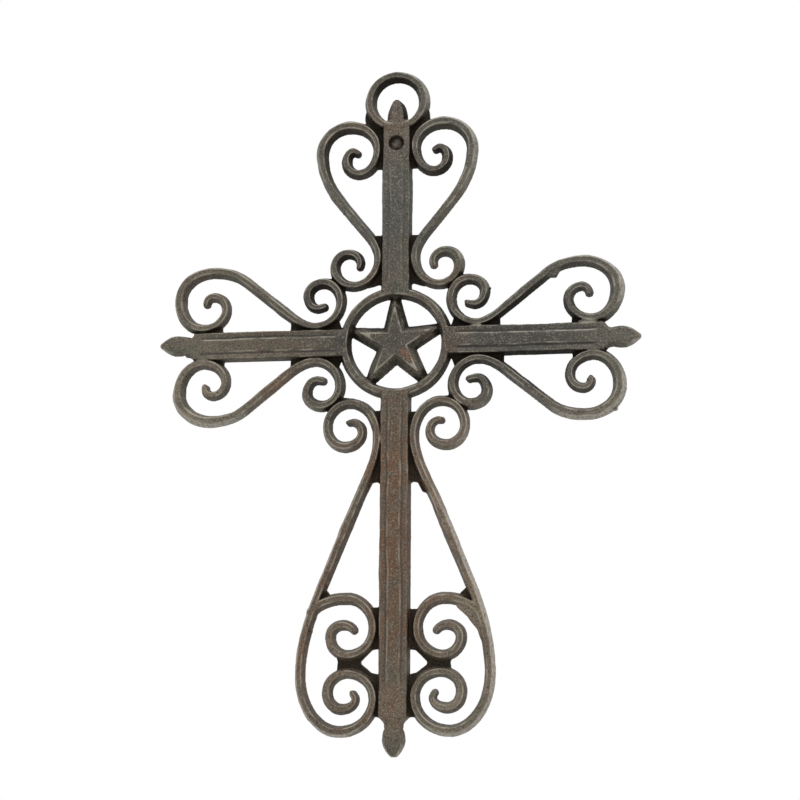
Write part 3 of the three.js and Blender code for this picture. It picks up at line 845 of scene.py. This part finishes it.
# The lines along the bars follow the casting's own millimetres, a little unsteady.
axes = tree.nodes.new("ShaderNodeSeparateXYZ")
feed(axes.inputs["Vector"], where)
sway = ranged(grain(26, 2), 0.3, 0.7, -0.35, 0.35)
from_middle = sums("ABSOLUTE", sums("ADD", sums("MULTIPLY", axes.outputs["X"], 1000), sway))
rise = sums("ADD", sums("MULTIPLY", axes.outputs["Z"], 1000), EYE_TOP)
from_level = sums("ABSOLUTE", sums("ADD", rise, sway))
fore = ranged(axes.outputs["Y"], -0.0042, -0.0047)
on_arms = sums("MULTIPLY", ranged(from_middle, 27.5, 31), ranged(from_middle, 98, 94))
on_arms = sums("MULTIPLY", on_arms, sums("MULTIPLY", fore, ranged(from_level, 7.6, 7.2)))
on_upright = sums("MULTIPLY", ranged(from_level, 27.5, 33), ranged(rise, 92, 84))
on_upright = sums("MULTIPLY", sums("MULTIPLY", on_upright, ranged(rise, -166, -158)), fore)
on_upright = sums("MULTIPLY", on_upright, ranged(from_middle, 7.6, 7.2))
on_upright = sums("MULTIPLY", on_upright, ranged(rise, -10, 10, 0.6, 0.3))
patchy = ranged(grain(7, 3), 0.42, 0.62, 0.12, 1)


def bar_lines(middle, reach):
    """A pair of lines along each bar, at the given distance from its middle."""
    arms = sums("MULTIPLY", line_at(from_level, middle, reach), on_arms)
    return sums("MAXIMUM", arms, sums("MULTIPLY", line_at(from_middle, middle, reach), on_upright))


# A dark line of painted shade where each groove drops away.
colour = stained(colour, PAINTED_GROOVE_SHADE, sums("MULTIPLY", bar_lines(3.75, 0.75), 0.85))
# Light lines on the soft edges, beside the grooves and near the bars' rims: partly wear, partly painted
# highlight.
wear_and_highlight = sums("MAXIMUM", line_at(reading("across"), SHOULDER, 0.2), bar_lines(2.9, 0.55))
wear_and_highlight = sums("MAXIMUM", wear_and_highlight, sums("MULTIPLY", bar_lines(6.6, 0.9), 0.8))
colour = stained(colour, WORN_EDGE_AND_HIGHLIGHT, sums("MULTIPLY", sums("MULTIPLY", wear_and_highlight, patchy), 0.56))

# The open outer sides are painted lighter: a painted reflection of the white surroundings, less on the sooty
# patches.
side_reflection = sums("MULTIPLY", reading("side"), ranged(reading("faced"), 0.35, 0.02))
side_reflection = sums("MULTIPLY", side_reflection, ranged(reading("sooty"), 0.1, 0.6, 1, 0.25))
side_reflection = sums("MULTIPLY", side_reflection, ranged(grain(1.2, 3), 0.4, 0.6, 0.3, 0.8))
colour = stained(colour, PAINTED_SIDE_REFLECTION, side_reflection)
# Dirt and painted shade: darker where a place is closed in, where its side faces other iron, and on the low
# webs; it also dulls the shine.
dirt_and_shade = sums("MAXIMUM", ranged(reading("hemmed"), 0.14, 0.5), ranged(reading("faced"), 0.25, 0.95, 0, 0.5))
dirt_and_shade = sums("MULTIPLY", dirt_and_shade, ranged(reading("sooty"), 0.0, 0.8, 0.85, 1.7))
dirt_and_shade = sums("MAXIMUM", dirt_and_shade, sums("MULTIPLY", reading("sunk"), 0.78))
dirt_and_shade = ranged(dirt_and_shade, 0.0, 1.0)
colour = stained(colour, DIRT_AND_PAINTED_SHADE, sums("MULTIPLY", dirt_and_shade, 0.92))
feed(shader.inputs["Base Color"], colour)

feed(shader.inputs["Roughness"], ranged(grain(2.2, 3), 0.3, 0.7, 0.46, 0.68))
feed(shader.inputs["Specular IOR Level"], ranged(dirt_and_shade, 0.0, 1.0, 0.42, 0.04))

sand = tree.nodes.new("ShaderNodeBump")
sand.inputs["Strength"].default_value = 0.8
sand.inputs["Distance"].default_value = 0.00032
feed(sand.inputs["Height"], grain(0.75, 3, 0.65))
feed(shader.inputs["Normal"], sand.outputs["Normal"])

cross.data.materials.append(iron)
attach(cross, "root")
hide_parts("cross")


# The floor and the light
# A plain pale floor far below the cross, white surroundings and a soft studio light from above.
FLOOR_HEIGHT = -0.95
FLOOR_RADIUS = 9
floor_shape = bmesh.new()
lowered = Matrix.Translation((0, 0, FLOOR_HEIGHT))
bmesh.ops.create_circle(floor_shape, cap_ends=True, segments=96, radius=FLOOR_RADIUS, matrix=lowered)
floor_mesh = bpy.data.meshes.new("floor")
floor_shape.to_mesh(floor_mesh)
floor_shape.free()
floor = bpy.data.objects.new("floor", floor_mesh)
bpy.context.scene.collection.objects.link(floor)
pale = bpy.data.materials.new("pale_floor")
pale.use_nodes = True
pale_shader = pale.node_tree.nodes["Principled BSDF"]
pale_shader.inputs["Base Color"].default_value = (0.8, 0.8, 0.79, 1)
pale_shader.inputs["Roughness"].default_value = 0.9
floor_mesh.materials.append(pale)

world = bpy.data.worlds.new("white_room")
world.use_nodes = True
surroundings = world.node_tree.nodes["Background"]
surroundings.inputs["Color"].default_value = (1, 1, 1, 1)
surroundings.inputs["Strength"].default_value = 1.0
bpy.context.scene.world = world
bpy.context.scene.view_settings.view_transform = "Standard"

CROSSING = Vector((0, 0, -EYE_TOP / 1000))


def soft_light(name, offset, size, power):
    """A square soft box that faces the crossing."""
    lamp = bpy.data.lights.new(name, "AREA")
    lamp.size = size
    lamp.energy = power
    stand = bpy.data.objects.new(name, lamp)
    stand.location = CROSSING + Vector(offset)
    stand.rotation_euler = Vector(offset).to_track_quat("Z", "Y").to_euler()
    bpy.context.scene.collection.objects.link(stand)


soft_light("upper_light", (0.25, -0.75, 1.25), 0.6, 14)


# The camera
# It looks up at the crossing from 9 degrees to the right and 12 degrees below square on, from
# 0.85 m away, as the photograph was taken.
YAW = math.radians(8.94)
PITCH = math.radians(12.44)
ROLL = math.radians(0.377)
DISTANCE = 0.8515
LENS = 79.17
SHIFT_RIGHT = 0.0044
SHIFT_UP = -0.0711
forward = Vector((-math.sin(YAW) * math.cos(PITCH), math.cos(YAW) * math.cos(PITCH), math.sin(PITCH)))
level = Vector((math.cos(YAW), math.sin(YAW), 0))
upward = level.cross(forward)
camera = bpy.data.objects.new("camera", bpy.data.cameras.new("camera"))
right = level * math.cos(ROLL) + upward * math.sin(ROLL)
top = upward * math.cos(ROLL) - level * math.sin(ROLL)
stand = Matrix((right, top, -forward)).transposed().to_4x4()
stand.translation = CROSSING - forward * DISTANCE
camera.matrix_world = stand
camera.data.lens = LENS
camera.data.sensor_width = 36
camera.data.shift_x = SHIFT_RIGHT
camera.data.shift_y = SHIFT_UP
bpy.context.scene.collection.objects.link(camera)
bpy.context.scene.camera = camera
